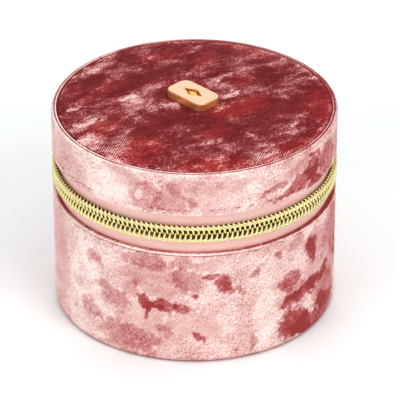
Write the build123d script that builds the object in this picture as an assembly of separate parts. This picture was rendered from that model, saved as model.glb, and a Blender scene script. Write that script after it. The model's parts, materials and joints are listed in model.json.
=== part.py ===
"""Round zip-around vanity case: velvet-wrapped board shell, hinged lid, coil zip, slider and pull.

Millimetres. Origin at the centre of the underside, +Z up, -Y to the front, hinge at +Y.
"""

from build123d import *
import math
import os

# ---- driving dimensions -------------------------------------------------------------------------
CASE_R = 50.0          # outer radius over the velvet
BASE_TOP = 44.2        # top edge of the base's velvet side
LID_BOTTOM = 59.0      # lower edge of the lid's velvet side
LID_TOP = 75.2         # rim of the lid
ZIP_Z = 52.0           # line where the two zip halves meet

VELVET_T = 0.7         # velvet over the boards
BOARD_T = 1.3          # outer wall board
TAPE_T = 0.6           # woven zip tape
LINING_T = 0.3         # lining fabric
LINER_T = 0.8          # inner wall card
FOAM_T = 0.95          # thin foam behind the linings
SKIN_GAP = 0.05        # glue line between nested rings
CORNER_ROUND = 1.1     # velvet over the bottom edge and the lid's rim
HEM_ROUND = 0.6        # velvet over the wall boards' edges beside the zip
LINING_ROUND = 0.25    # lining over a card's edge

HINGE_HALF = 24.0      # half angle of the soft hinge panel at the back
COIL_HALF = 42.3       # half angle without coil at the back, where the slider parks
PARK_ANGLE = 55.4      # plan angle of the slider's centre when the zip is closed

# ---- sizes worked out from them -----------------------------------------------------------------
BOARD_R = CASE_R - VELVET_T                 # outside of the wall boards
TAPE_R = BOARD_R - BOARD_T                  # outside of the zip tape, inside of the wall boards
TAPE_IN = TAPE_R - TAPE_T
LINER_OUT = TAPE_R - 2.0                    # outside of the lined inner walls
FOAM_IN = LINER_OUT
FOAM_OUT = FOAM_IN + FOAM_T
BASE_CARD_OUT = LINER_OUT - LINING_T        # the base's collar is lined on both sides
BASE_CARD_IN = BASE_CARD_OUT - LINER_T
BASE_LINING_IN = BASE_CARD_IN - LINING_T
LID_CARD_IN = LINER_OUT - LINER_T
LID_LINING_IN = LID_CARD_IN - LINING_T

BOTTOM_COVER_T = 0.6
COVER_R = 48.6
FLOOR_T = 2.0
FLOOR_Z = BOTTOM_COVER_T + VELVET_T         # underside of the floor board
PAD_Z = FLOOR_Z + FLOOR_T                   # underside of the floor pad
PAD_CARD_T = 0.8
PAD_FOAM_T = 2.2
PAD_TOP = PAD_Z + PAD_CARD_T + PAD_FOAM_T
COLLAR_TOP = 56.0                           # the base's inner card stands up behind the zip
UNDER_FLANGE_R = 44.0                       # velvet turned under the floor board reaches in to here

LID_TOP_BOARD_T = 1.6
LID_BOARD_TOP = LID_TOP - VELVET_T          # top face of the lid's top board
LID_BOARD_UNDER = LID_BOARD_TOP - LID_TOP_BOARD_T
RIM_FLANGE_R = 48.2                         # velvet turned over the rim reaches in to here
TOP_DISC_R = RIM_FLANGE_R - 0.1             # the padded velvet disc let into the rim
TOP_EDGE_Z = 75.3                           # the disc's height at its edge
TOP_CROWN_Z = 76.0                          # and over its flat middle
TOP_FLAT_R = 20.0
TOP_SKIN_T = 0.6                            # velvet over the top's foam

CEILING_FOAM_T = 1.2
CEILING_CARD_T = 0.8
CEILING_FOAM_Z = LID_BOARD_UNDER - CEILING_FOAM_T
CEILING_CARD_Z = CEILING_FOAM_Z - CEILING_CARD_T
MIRROR_R = 37.0
MIRROR_T = 1.5
MIRROR_Z = CEILING_CARD_Z - MIRROR_T
FRAME_T = 0.8
FRAME_R = 35.0                              # the mirror's visible radius
FRAME_Z = MIRROR_Z - FRAME_T

TAPE_EDGE = 0.8                             # tape edge from the zip line
TAPE_WIDTH = 15.2                           # most of it is glued behind the wall boards
COIL_HALF_GAP = 0.05
COIL_H = 3.2                                # height of one coil
COIL_ROUND = 0.8
COIL_R = TAPE_R + 2.3                       # outside of the coils
THREAD_R = COIL_R + 0.2
THREAD_H = 0.5
THREAD_ROWS = (1.9, 2.6)                    # stitch rows, from the zip line

HINGE_SKIN_T = 0.7
HINGE_LINING_T = 0.3
HINGE_GAP_DEG = 0.2                         # between the hinge panel's sides and the tapes

BADGE_CENTRE = (1.3, 2.0)
BADGE_SIZE = (10.8, 18.3, 2.8)
BADGE_CORNER_R = 3.2
BADGE_CHAMFER = 0.35
BADGE_RECESS = (4.6, 9.0, 1.5)              # lozenge sunk in its face: width, length, depth
BADGE_BOSS_H = 1.1
STUD_R = 0.9
STUD_SPACING = 9.0
STUD_HOLE_R = STUD_R + 0.1
WASHER_R = 2.6
WASHER_T = 0.5
STUD_END = 0.3                              # stud past its washer

# slider, measured from the zip's centre line
SLIDER_HALF_DEG = 5.75
SLIDER_HALF_H = 4.4
SLIDER_IN = THREAD_R + 0.35
SLIDER_T = 1.1
LIP_IN = 49.7
LIP_Z = COIL_H + 0.4
BACK_PLATE = (46.4, 47.0)
BACK_HALF_H = 4.1
BACK_HALF_DEG = 5.2
SLIDER_LENGTH_ROUND = 1.8                   # corner radius of the plate, seen from outside
SLIDER_EDGE_ROUND = 0.45
ARCH_BAR_R = 54.5                           # radius of the bridge bar's centre
ARCH_BAR = (1.0, 2.0)                       # bar thickness and width
ARCH_SPAN = 4.0                             # opening under the bridge
ARCH_FOOT = 1.5
LINK_WIRE_R = 0.4
LINK_R = 1.75                               # centre line radius of the link's ends
LINK_TOP = -0.2                             # centre of its top bend, from the bar
LINK_STRAIGHT = 2.4
TAB_T = 1.1
TAB_HOLE_R = 1.0
TAB_HOLE_Z = -4.75                          # hole centre from the bar, when hanging
TAB_EYE_R = 1.9
TAB_HALF_W = 3.0
TAB_LENGTH = 20.0


# ---- helpers ------------------------------------------------------------------------------------
def disc(radius, low, high):
    """A round plate between two heights."""
    return Pos(0, 0, low) * Cylinder(radius, high - low, align=(Align.CENTER, Align.CENTER, Align.MIN))


def ring(inner, outer, low, high):
    """A full ring between two radii and two heights."""
    return disc(outer, low, high) - disc(inner, low - 1, high + 1)


def turned(face, start=0.0, arc=360.0):
    """Revolves a face drawn in (radius, height) about Z, from a plan angle."""
    body = revolve(Plane.XZ * face, Axis.Z, revolution_arc=arc)
    return Rot(0, 0, start) * body


def profile(*points):
    return make_face(Polyline(*points, close=True))


def softened(face, radius, *corners):
    """Fillets the face's corners that lie at the given (radius, height) points."""
    chosen = [v for v in face.vertices() if any(math.dist((v.X, v.Y), c) < 1e-6 for c in corners)]
    return fillet(chosen, radius)


def sector(inner, outer, low, high, start, arc):
    """Part of a ring, counter-clockwise from a plan angle."""
    return turned(profile((inner, low), (outer, low), (outer, high), (inner, high)), start, arc)


def around_front(half_gap):
    """Start angle and arc of a ring that leaves a gap of twice half_gap at the back."""
    return 90.0 + half_gap, 360.0 - 2 * half_gap


def at_slider():
    """Frame at the zip line under the slider: x along the zip, y outwards, z up."""
    return Rot(0, 0, PARK_ANGLE - 90.0) * Pos(0, 0, ZIP_Z)


# ---- base ---------------------------------------------------------------------------------------
def base_bottom_cover():
    return disc(COVER_R, 0, BOTTOM_COVER_T)


def base_bottom_card():
    return disc(UNDER_FLANGE_R - 0.1, BOTTOM_COVER_T, FLOOR_Z)


def base_floor_board():
    return disc(BOARD_R, FLOOR_Z, PAD_Z)


def base_wall_board():
    return ring(TAPE_R, BOARD_R, PAD_Z, BASE_TOP - VELVET_T)


def base_side_velvet():
    """The sleeve, turned in over the board at the top and under the floor at the bottom."""
    low, high = BOTTOM_COVER_T, BASE_TOP
    face = profile(
        (UNDER_FLANGE_R, low),
        (CASE_R, low),
        (CASE_R, high),
        (TAPE_R, high),
        (TAPE_R, high - VELVET_T),
        (BOARD_R, high - VELVET_T),
        (BOARD_R, FLOOR_Z),
        (UNDER_FLANGE_R, FLOOR_Z),
    )
    face = softened(face, CORNER_ROUND, (CASE_R, low))
    face = softened(face, HEM_ROUND, (CASE_R, high))
    return turned(face)


def base_wall_foam():
    return ring(FOAM_IN, FOAM_OUT, PAD_Z, BASE_TOP - VELVET_T)


def base_liner_card():
    """The inner wall; it stands up past the base's edge as a collar."""
    return ring(BASE_CARD_IN, BASE_CARD_OUT, PAD_Z, COLLAR_TOP)


def base_liner_fabric():
    """Lining on the inner wall's inside, over its top edge and down the collar's outside."""
    high = COLLAR_TOP + LINING_T
    face = profile(
        (BASE_LINING_IN, PAD_Z),
        (BASE_CARD_IN, PAD_Z),
        (BASE_CARD_IN, COLLAR_TOP),
        (BASE_CARD_OUT, COLLAR_TOP),
        (BASE_CARD_OUT, BASE_TOP),
        (LINER_OUT, BASE_TOP),
        (LINER_OUT, high),
        (BASE_LINING_IN, high),
    )
    return turned(softened(face, LINING_ROUND, (LINER_OUT, high), (BASE_LINING_IN, high)))


def base_pad_card():
    return disc(BASE_LINING_IN - SKIN_GAP, PAD_Z, PAD_Z + PAD_CARD_T)


def base_pad_foam():
    return disc(BASE_LINING_IN - LINING_T - SKIN_GAP, PAD_Z + PAD_CARD_T, PAD_TOP)


def base_pad_fabric():
    """Lining over the floor pad, turned down round its edge."""
    outer = BASE_LINING_IN - SKIN_GAP
    low, high = PAD_Z + PAD_CARD_T, PAD_TOP + LINING_T
    face = profile(
        (0, PAD_TOP),
        (outer - LINING_T, PAD_TOP),
        (outer - LINING_T, low),
        (outer, low),
        (outer, high),
        (0, high),
    )
    return turned(softened(face, LINING_ROUND, (outer, high)))


# ---- lid ----------------------------------------------------------------------------------------
def lid_wall_board():
    return ring(TAPE_R, BOARD_R, LID_BOTTOM + VELVET_T, LID_BOARD_UNDER)


def stud_places():
    return [(BADGE_CENTRE[0], BADGE_CENTRE[1] + s * STUD_SPACING / 2) for s in (-1, 1)]


def stud_holes(radius=STUD_HOLE_R):
    """Two round bars that clear the badge's studs."""
    tall = LID_TOP - FRAME_Z + 10
    return [Pos(x, y, LID_TOP) * Cylinder(radius, tall) for x, y in stud_places()]


def lid_top_board():
    return disc(BOARD_R, LID_BOARD_UNDER, LID_BOARD_TOP) - stud_holes()


def lid_side_velvet():
    """The lid's sleeve, turned in under the board at the bottom and over the rim at the top."""
    face = profile(
        (TAPE_R, LID_BOTTOM),
        (CASE_R, LID_BOTTOM),
        (CASE_R, LID_TOP),
        (RIM_FLANGE_R, LID_TOP),
        (RIM_FLANGE_R, LID_BOARD_TOP),
        (BOARD_R, LID_BOARD_TOP),
        (BOARD_R, LID_BOTTOM + VELVET_T),
        (TAPE_R, LID_BOTTOM + VELVET_T),
    )
    face = softened(face, HEM_ROUND, (CASE_R, LID_BOTTOM))
    face = softened(face, CORNER_ROUND, (CASE_R, LID_TOP))
    return turned(face)


def crown(edge_r, edge_z, flat_z):
    """The padded top's line, from its flat middle down to its edge."""
    return TangentArc((TOP_FLAT_R, flat_z), (edge_r, edge_z), tangent=(1, 0))


def lid_top_foam():
    edge = TOP_DISC_R - TOP_SKIN_T
    drop = TOP_SKIN_T
    arc = crown(edge, TOP_EDGE_Z - drop, TOP_CROWN_Z - drop)
    sides = Polyline(
        (edge, TOP_EDGE_Z - drop), (edge, LID_BOARD_TOP), (0, LID_BOARD_TOP),
        (0, TOP_CROWN_Z - drop), (TOP_FLAT_R, TOP_CROWN_Z - drop),
    )
    return turned(make_face([arc, sides])) - stud_holes()


def lid_top_velvet():
    """The velvet disc over the foam, turned down to the board round its edge."""
    edge, skin = TOP_DISC_R, TOP_SKIN_T
    over = crown(edge, TOP_EDGE_Z, TOP_CROWN_Z)
    under = crown(edge - skin, TOP_EDGE_Z - skin, TOP_CROWN_Z - skin)
    rim = Polyline(
        (edge, TOP_EDGE_Z),
        (edge, LID_BOARD_TOP),
        (edge - skin, LID_BOARD_TOP),
        (edge - skin, TOP_EDGE_Z - skin),
    )
    middle = Polyline(
        (TOP_FLAT_R, TOP_CROWN_Z - skin),
        (0, TOP_CROWN_Z - skin),
        (0, TOP_CROWN_Z),
        (TOP_FLAT_R, TOP_CROWN_Z),
    )
    face = softened(make_face([over, rim, under, middle]), 0.4, (edge, TOP_EDGE_Z))
    return turned(face) - stud_holes()


def lid_wall_foam():
    return ring(FOAM_IN, FOAM_OUT, LID_BOTTOM + LINING_T, LID_BOARD_UNDER)


def lid_liner_card():
    return ring(LID_CARD_IN, LINER_OUT, LID_BOTTOM + LINING_T, LID_BOARD_UNDER)


def lid_liner_fabric():
    """Lining on the lid's inner wall, turned out under its lower edge."""
    low = LID_BOTTOM
    face = profile(
        (LID_LINING_IN, low),
        (FOAM_OUT, low),
        (FOAM_OUT, low + LINING_T),
        (LID_CARD_IN, low + LINING_T),
        (LID_CARD_IN, LID_BOARD_UNDER),
        (LID_LINING_IN, LID_BOARD_UNDER),
    )
    return turned(softened(face, LINING_ROUND, (LID_LINING_IN, low)))


def lid_ceiling_foam():
    pockets = stud_holes(WASHER_R + 0.4)
    return disc(LID_LINING_IN - SKIN_GAP, CEILING_FOAM_Z, LID_BOARD_UNDER) - pockets


def lid_ceiling_card():
    return disc(LID_LINING_IN - SKIN_GAP, CEILING_CARD_Z, CEILING_FOAM_Z)


def mirror_glass():
    glass = disc(MIRROR_R, MIRROR_Z, CEILING_CARD_Z)
    return chamfer(glass.edges().group_by(Axis.Z)[0], 0.3)


def mirror_frame_foam():
    return ring(MIRROR_R + 0.2, LID_LINING_IN - SKIN_GAP, MIRROR_Z, CEILING_CARD_Z)


def mirror_frame():
    """Lined card ring that holds the mirror's edge."""
    low, high = FRAME_Z, MIRROR_Z
    outer = LID_LINING_IN - SKIN_GAP
    face = profile((FRAME_R, low), (outer, low), (outer, high), (FRAME_R, high))
    return turned(softened(face, 0.35, (FRAME_R, low)))


def badge():
    """Plain metal plaque with a sunk lozenge and a small pyramid in it, on two cast studs."""
    width, length, thick = BADGE_SIZE
    plaque = extrude(RectangleRounded(width, length, BADGE_CORNER_R), thick)
    plaque = chamfer(plaque.faces().sort_by(Axis.Z)[-1].outer_wire().edges(), BADGE_CHAMFER)
    half_w, half_l, depth = BADGE_RECESS[0] / 2, BADGE_RECESS[1] / 2, BADGE_RECESS[2]
    lozenge = make_face(Polyline((half_w, 0), (0, half_l), (-half_w, 0), (0, -half_l), close=True))
    floor = thick - depth
    plaque -= Pos(0, 0, floor) * extrude(lozenge, depth + 1)
    plaque += Pos(0, 0, floor) * extrude(lozenge, BADGE_BOSS_H, taper=46)
    under = TOP_CROWN_Z - stud_low()
    for x, y in stud_places():
        plaque += Pos(x - BADGE_CENTRE[0], y - BADGE_CENTRE[1], -under / 2) * Cylinder(STUD_R, under)
    return Pos(*BADGE_CENTRE, TOP_CROWN_Z) * plaque


def stud_low():
    """The lower end of the badge's studs."""
    return LID_BOARD_UNDER - WASHER_T - STUD_END


def badge_washers():
    """Push-on washers that grip the studs under the top board."""
    washers = []
    for x, y in stud_places():
        plate = Cylinder(WASHER_R, WASHER_T) - Cylinder(STUD_R, WASHER_T * 2)
        washers.append(Pos(x, y, LID_BOARD_UNDER - WASHER_T / 2) * plate)
    return Compound(children=washers)


# ---- zip and hinge ------------------------------------------------------------------------------
def zip_band(side, near, width):
    """Heights of a band that starts near the zip line; side is -1 below the line and 1 above."""
    return sorted((ZIP_Z + side * near, ZIP_Z + side * (near + width)))


def tape(side):
    """Woven tape that carries one coil, from one side of the hinge panel round the front to the other."""
    return sector(TAPE_IN, TAPE_R, *zip_band(side, TAPE_EDGE, TAPE_WIDTH), *around_front(HINGE_HALF))


def coil(side):
    """One half of the meshed zip as its outer shape."""
    low, high = zip_band(side, COIL_HALF_GAP, COIL_H)
    face = profile((TAPE_R, low), (COIL_R, low), (COIL_R, high), (TAPE_R, high))
    outer_corner = (COIL_R, ZIP_Z + side * (COIL_HALF_GAP + COIL_H))
    return turned(softened(face, COIL_ROUND, outer_corner), *around_front(COIL_HALF))


def stitching(side):
    """Two rows of sewing thread that lie over one coil."""
    rows = []
    for row in THREAD_ROWS:
        heights = zip_band(side, row - THREAD_H / 2, THREAD_H)
        rows.append(sector(COIL_R, THREAD_R, *heights, *around_front(COIL_HALF)))
    return Compound(children=rows)


def hinge_part(inner, outer):
    """Panel between the tapes' ends, glued inside both walls and as tall as the two tapes."""
    half = HINGE_HALF - HINGE_GAP_DEG
    reach = TAPE_EDGE + TAPE_WIDTH
    return sector(inner, outer, ZIP_Z - reach, ZIP_Z + reach, 90 - half, 2 * half)


def hinge_velvet():
    return hinge_part(TAPE_R - HINGE_SKIN_T, TAPE_R)


def hinge_lining():
    outer = TAPE_R - HINGE_SKIN_T
    return hinge_part(outer - HINGE_LINING_T, outer)


# ---- slider and pull ----------------------------------------------------------------------------
def slider_plate():
    """Outer plate of the slider with its two lips, rounded at the corners."""
    outer = SLIDER_IN + SLIDER_T
    face = profile(
        (SLIDER_IN, -LIP_Z),
        (LIP_IN, -LIP_Z),
        (LIP_IN, -SLIDER_HALF_H),
        (outer, -SLIDER_HALF_H),
        (outer, SLIDER_HALF_H),
        (LIP_IN, SLIDER_HALF_H),
        (LIP_IN, LIP_Z),
        (SLIDER_IN, LIP_Z),
    )
    face = softened(face, 0.8, (outer, -SLIDER_HALF_H), (outer, SLIDER_HALF_H))
    plate = Pos(0, 0, ZIP_Z) * turned(face, PARK_ANGLE - SLIDER_HALF_DEG, 2 * SLIDER_HALF_DEG)
    length = 2 * outer * math.sin(math.radians(SLIDER_HALF_DEG)) - 0.1
    outline = RectangleRounded(length, 2 * SLIDER_HALF_H + 1, SLIDER_LENGTH_ROUND + 0.5)
    plate &= at_slider() * Plane.XZ.location * extrude(outline, -2 * CASE_R)
    rim = [e for e in plate.edges() if is_outer_rim(e, outer)]
    return fillet(rim, SLIDER_EDGE_ROUND)


def is_outer_rim(edge, outer):
    """Whether an edge of the slider's plate bounds its outer face."""
    points = [edge @ t for t in (0.0, 0.5, 1.0)]
    return all(abs(math.hypot(p.X, p.Y) - outer) < 0.02 for p in points) and edge.length > 0.5


def slider_bridge():
    """The arch that the pull hangs from, over the middle of the plate."""
    outer = SLIDER_IN + SLIDER_T
    half_bar, half_width = ARCH_BAR[0] / 2, ARCH_BAR[1] / 2
    top, under = ARCH_BAR_R + half_bar, ARCH_BAR_R - half_bar
    foot, shoulder = ARCH_SPAN / 2 + ARCH_FOOT, ARCH_SPAN / 2 + 0.7
    sunk = outer - 0.5
    arch = make_face(Polyline((-foot, sunk), (-shoulder, top), (shoulder, top), (foot, sunk), close=True))
    arch = softened(arch, 0.8, (-shoulder, top), (shoulder, top))
    arch = Pos(0, 0, -half_width) * extrude(arch, 2 * half_width)
    arch -= Pos(0, (outer + under) / 2, 0) * Box(ARCH_SPAN, under - outer, 4 * half_width)
    long_edges = [e for e in arch.edges().filter_by(Axis.X) if e.center().Y > outer + 0.5]
    return fillet(long_edges, 0.25)


def slider_body():
    """Outer plate with lips over both coils, and the bridge for the pull."""
    return slider_plate() + at_slider() * slider_bridge()


def slider_back_plate():
    """The slider's inner plate, behind the tapes."""
    arc = 2 * BACK_HALF_DEG
    return sector(*BACK_PLATE, ZIP_Z - BACK_HALF_H, ZIP_Z + BACK_HALF_H, PARK_ANGLE - BACK_HALF_DEG, arc)


def pull_link():
    """Oblong wire link through the bridge, hanging across the zip."""
    top, bottom = LINK_TOP, LINK_TOP - LINK_STRAIGHT
    path = Wire(
        [
            ThreePointArc((LINK_R, top), (0, top + LINK_R), (-LINK_R, top)),
            Line((-LINK_R, top), (-LINK_R, bottom)),
            ThreePointArc((-LINK_R, bottom), (0, bottom - LINK_R), (LINK_R, bottom)),
            Line((LINK_R, bottom), (LINK_R, top)),
        ]
    )
    path = Plane.YZ * path
    section = Plane(origin=path @ 0, z_dir=path % 0) * Circle(LINK_WIRE_R)
    return at_slider() * Pos(0, ARCH_BAR_R, 0) * sweep(section, path)


def pull_tab():
    """Flat metal tab hanging from the link."""
    eye = Circle(TAB_EYE_R)
    foot = TAB_EYE_R - TAB_LENGTH
    body = make_face(
        Polyline(
            (-TAB_EYE_R, 0), (TAB_EYE_R, 0), (TAB_HALF_W, -5.0), (TAB_HALF_W, foot), (-TAB_HALF_W, foot),
            (-TAB_HALF_W, -5.0), close=True,
        )
    )
    body = softened(body, 2.6, (TAB_HALF_W, foot), (-TAB_HALF_W, foot))
    body = softened(body, 4.0, (TAB_HALF_W, -5.0), (-TAB_HALF_W, -5.0))
    outline = eye + body - Circle(TAB_HOLE_R)
    tab = extrude(outline, TAB_T / 2, both=True)
    tab = chamfer(tab.faces().sort_by(Axis.Z)[-1].outer_wire().edges(), 0.2)
    standing = Plane(origin=(0, ARCH_BAR_R, TAB_HOLE_Z), x_dir=(-1, 0, 0), z_dir=(0, 1, 0))
    return at_slider() * standing.location * tab


PARTS = {
    "base_bottom_cover": base_bottom_cover,
    "base_bottom_card": base_bottom_card,
    "base_floor_board": base_floor_board,
    "base_wall_board": base_wall_board,
    "base_side_velvet": base_side_velvet,
    "base_wall_foam": base_wall_foam,
    "base_liner_card": base_liner_card,
    "base_liner_fabric": base_liner_fabric,
    "base_pad_card": base_pad_card,
    "base_pad_foam": base_pad_foam,
    "base_pad_fabric": base_pad_fabric,
    "lid_wall_board": lid_wall_board,
    "lid_top_board": lid_top_board,
    "lid_side_velvet": lid_side_velvet,
    "lid_top_foam": lid_top_foam,
    "lid_top_velvet": lid_top_velvet,
    "lid_wall_foam": lid_wall_foam,
    "lid_liner_card": lid_liner_card,
    "lid_liner_fabric": lid_liner_fabric,
    "lid_ceiling_foam": lid_ceiling_foam,
    "lid_ceiling_card": lid_ceiling_card,
    "mirror_glass": mirror_glass,
    "mirror_frame_foam": mirror_frame_foam,
    "mirror_frame": mirror_frame,
    "badge": badge,
    "badge_washers": badge_washers,
    "zip_lower_tape": lambda: tape(-1),
    "zip_upper_tape": lambda: tape(1),
    "zip_lower_coil": lambda: coil(-1),
    "zip_upper_coil": lambda: coil(1),
    "zip_lower_stitching": lambda: stitching(-1),
    "zip_upper_stitching": lambda: stitching(1),
    "hinge_velvet": hinge_velvet,
    "hinge_lining": hinge_lining,
    "slider_body": slider_body,
    "slider_back_plate": slider_back_plate,
    "pull_link": pull_link,
    "pull_tab": pull_tab,
}

os.makedirs("parts", exist_ok=True)
for name, make in PARTS.items():
    export_step(make(), f"parts/{name}.step")
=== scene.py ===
"""Looks of the round velvet vanity case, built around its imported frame. Shapes are in millimetres."""
import json
import math

import bmesh
import bpy
import numpy as np
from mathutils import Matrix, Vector, noise


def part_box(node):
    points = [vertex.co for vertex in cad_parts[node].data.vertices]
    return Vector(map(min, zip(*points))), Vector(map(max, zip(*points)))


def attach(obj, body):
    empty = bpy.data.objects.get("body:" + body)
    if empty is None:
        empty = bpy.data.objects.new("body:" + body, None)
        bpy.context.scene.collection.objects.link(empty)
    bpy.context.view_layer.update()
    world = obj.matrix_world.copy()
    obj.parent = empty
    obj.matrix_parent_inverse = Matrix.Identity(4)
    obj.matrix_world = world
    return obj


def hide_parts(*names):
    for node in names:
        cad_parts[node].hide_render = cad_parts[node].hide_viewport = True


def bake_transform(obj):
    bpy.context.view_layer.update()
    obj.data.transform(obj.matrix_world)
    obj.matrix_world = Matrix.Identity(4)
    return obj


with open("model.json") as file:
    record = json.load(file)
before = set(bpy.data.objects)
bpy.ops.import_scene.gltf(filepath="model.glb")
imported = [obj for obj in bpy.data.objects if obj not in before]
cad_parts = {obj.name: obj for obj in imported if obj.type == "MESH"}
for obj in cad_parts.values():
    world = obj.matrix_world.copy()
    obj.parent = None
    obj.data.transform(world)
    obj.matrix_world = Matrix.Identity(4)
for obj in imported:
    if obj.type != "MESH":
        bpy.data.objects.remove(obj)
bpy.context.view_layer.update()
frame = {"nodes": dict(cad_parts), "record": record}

MM = 0.001


def box(node):
    """Lowest and highest corner of a CAD node, in millimetres."""
    return [np.array(corner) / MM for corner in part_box(node)]


# ---- sizes read from the frame ---------------------------------
(_, _, BASE_LOW), (CASE_R, _, BASE_TOP) = box("base_side_velvet")
(_, _, FLOOR_LOW), _ = box("base_floor_board")
_, (_, _, BASE_BOARD_TOP) = box("base_wall_board")
(_, _, LID_LOW), (_, _, LID_TOP) = box("lid_side_velvet")
_, (BOARD_R, _, TOP_FLAT) = box("lid_top_board")
_, (TOP_DISC_R, _, CROWN) = box("lid_top_velvet")
_, (TAPE_OUT, _, LOWER_TAPE_EDGE) = box("zip_lower_tape")
(_, _, UPPER_TAPE_EDGE), _ = box("zip_upper_tape")
(_, _, COIL_LOW), (COIL_OUT, _, _) = box("zip_lower_coil")
_, (THREAD_OUT, _, _) = box("zip_lower_stitching")
(_, _, LINER_LOW), (LINER_OUT, _, LINER_TOP) = box("base_liner_fabric")
_, (CARD_OUT, _, CARD_TOP) = box("base_liner_card")
(_, _, LID_LINING_LOW), (LID_LINING_OUT, _, LID_LINING_TOP) = box("lid_liner_fabric")
(_, _, PAD_CARD_TOP), (PAD_R, _, PAD_TOP) = box("base_pad_fabric")
(_, _, FRAME_LOW), (FRAME_OUT, _, FRAME_TOP) = box("mirror_frame")
_, (MIRROR_R, _, _) = box("mirror_glass")
_, (HINGE_HALF, _, _) = box("hinge_velvet")
BADGE_LOW, BADGE_HIGH = box("badge")
BADGE_MIDDLE = (BADGE_LOW + BADGE_HIGH)[:2] / 2

ZIP_Z = (LOWER_TAPE_EDGE + UPPER_TAPE_EDGE) / 2
COIL_H = ZIP_Z - COIL_LOW
COIL_DEEP = COIL_OUT - TAPE_OUT
TAPE_T = 0.6
SKIN = 0.02                      # gap between a cloth and what it is glued to
BACK = 90.0                      # plan angle of the hinge, in degrees
HINGE_DEG = math.degrees(math.asin(HINGE_HALF / TAPE_OUT))    # from the back to the hinge panel's edge
TAPE_GAP_DEG = HINGE_DEG + 0.2   # from the back to the tapes' ends
COIL_GAP_DEG = 42.3              # from the back to the coils' ends


# ---- mesh building ---------------------------------------------
def mesh_object(name, points, faces, uvs=None, smooth=True):
    """Object from points in millimetres; uvs holds one (u, v) in metres for each face corner."""
    mesh = bpy.data.meshes.new(name)
    mesh.from_pydata((np.asarray(points) * MM).tolist(), [], faces)
    if uvs is not None:
        layer = mesh.uv_layers.new(name="cloth")
        layer.data.foreach_set("uv", np.asarray(uvs, np.float32).ravel())
    mesh.polygons.foreach_set("use_smooth", [smooth] * len(mesh.polygons))
    mesh.update()
    made = bpy.data.objects.new(name, mesh)
    bpy.context.scene.collection.objects.link(made)
    return made


def face_outwards(made):
    shape = bmesh.new()
    shape.from_mesh(made.data)
    bmesh.ops.recalc_face_normals(shape, faces=shape.faces)
    shape.to_mesh(made.data)
    shape.free()
    return made


def grid(name, points, uv, full):
    """Quads through points[i, j], closed along j. Along i the grid closes if full, and is capped if not.

    Where the grid closes, uv[i, j] goes on one step further than the points.
    """
    rows, columns = points.shape[:2]
    i, j = np.meshgrid(np.arange(rows if full else rows - 1), np.arange(columns), indexing="ij")
    corners = [(i, j), (i + 1, j), (i + 1, j + 1), (i, j + 1)]
    faces = np.stack([(a % rows) * columns + b % columns for a, b in corners], -1).reshape(-1, 4).tolist()
    uvs = np.stack([uv[a, b] for a, b in corners], -2).reshape(-1, 2)
    if not full:
        faces += [list(range(columns)), [(rows - 1) * columns + k for k in range(columns)]]
        uvs = np.concatenate([uvs, uv[0, :columns], uv[rows - 1, :columns]])
    return face_outwards(mesh_object(name, points.reshape(-1, 3), faces, uvs))


def rounded(corners, step):
    """Points along a closed outline of (r, z, corner radius); step(r, z) is their spacing there."""
    dense = []
    count = len(corners)
    for k, (r, z, radius) in enumerate(corners):
        at = np.array((r, z), float)
        before, after = (np.array(corners[(k + d) % count][:2], float) - at for d in (-1, 1))
        before, after = before / np.linalg.norm(before), after / np.linalg.norm(after)
        cut = radius / math.tan(math.acos(np.clip(before @ after, -1, 1)) / 2)
        first, last = at + before * cut, at + after * cut
        dense += [(1 - t) ** 2 * first + 2 * t * (1 - t) * at + t**2 * last for t in np.linspace(0, 1, 13)]
    dense = np.array(dense + dense[:1])
    fine_step = 0.1
    pieces = []
    for a, b in zip(dense, dense[1:]):
        pieces.append(np.linspace(a, b, max(2, int(np.linalg.norm(b - a) / fine_step)))[:-1])
    fine = np.concatenate(pieces + [dense[:1]])
    lengths = np.linalg.norm(np.diff(fine, axis=0), axis=1)
    middles = (fine[1:] + fine[:-1]) / 2
    run = np.concatenate([[0], np.cumsum([d / step(*m) for d, m in zip(lengths, middles)])])
    wanted = np.linspace(0, run[-1], int(run[-1]) + 1)[:-1]
    return np.stack([np.interp(wanted, run, fine[:, k]) for k in (0, 1)], -1)


def outward(outline):
    """Unit normals of a closed outline, pointing out of it."""
    along = np.roll(outline, -1, axis=0) - np.roll(outline, 1, axis=0)
    normals = np.stack([along[:, 1], -along[:, 0]], -1)
    area = np.sum(outline[:, 0] * np.roll(outline[:, 1], -1) - np.roll(outline[:, 0], -1) * outline[:, 1])
    return normals * np.sign(area) / np.linalg.norm(normals, axis=1)[:, None]


def around(theta, r, z):
    return np.stack([r * np.cos(theta), r * np.sin(theta), z], -1)


def distances(path):
    """Distance from the first point of a path to each of its points, along it."""
    return np.concatenate([[0], np.cumsum(np.linalg.norm(np.diff(path, axis=0), axis=1))])


def revolve(name, outline, angles, relief, cloth_r, cloth_low):
    """Turns a closed outline about Z through the angles, raised by relief; a full turn has its ends joined.

    The cloth's coordinates are measured at radius cloth_r, and up from cloth_low where the outline starts.
    """
    full = math.isclose(angles[-1] - angles[0], 2 * math.pi)
    normals = outward(outline)
    theta, r = np.meshgrid(angles[:-1] if full else angles, outline[:, 0], indexing="ij")
    z = np.broadcast_to(outline[:, 1], r.shape)
    raised = relief(theta, r, z) if relief else np.zeros_like(r)
    points = around(theta, r + raised * normals[:, 0], z + raised * normals[:, 1])
    v = distances(np.concatenate([outline, outline[:1]])) + cloth_low
    uv = np.stack(np.meshgrid(angles * cloth_r, v, indexing="ij"), -1) * MM
    return grid(name, points, uv, full)


def spin(name, corners, step, across=660, gap=0.0, relief=None):
    """Turns a closed outline about Z, leaving gap degrees each side of the back."""
    outline = rounded(corners, step if callable(step) else lambda r, z: step)
    angles = np.radians(np.linspace(BACK + gap, BACK + 360 - gap, across + 1))
    return revolve(name, outline, angles, relief, CASE_R, outline[0, 1])


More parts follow.
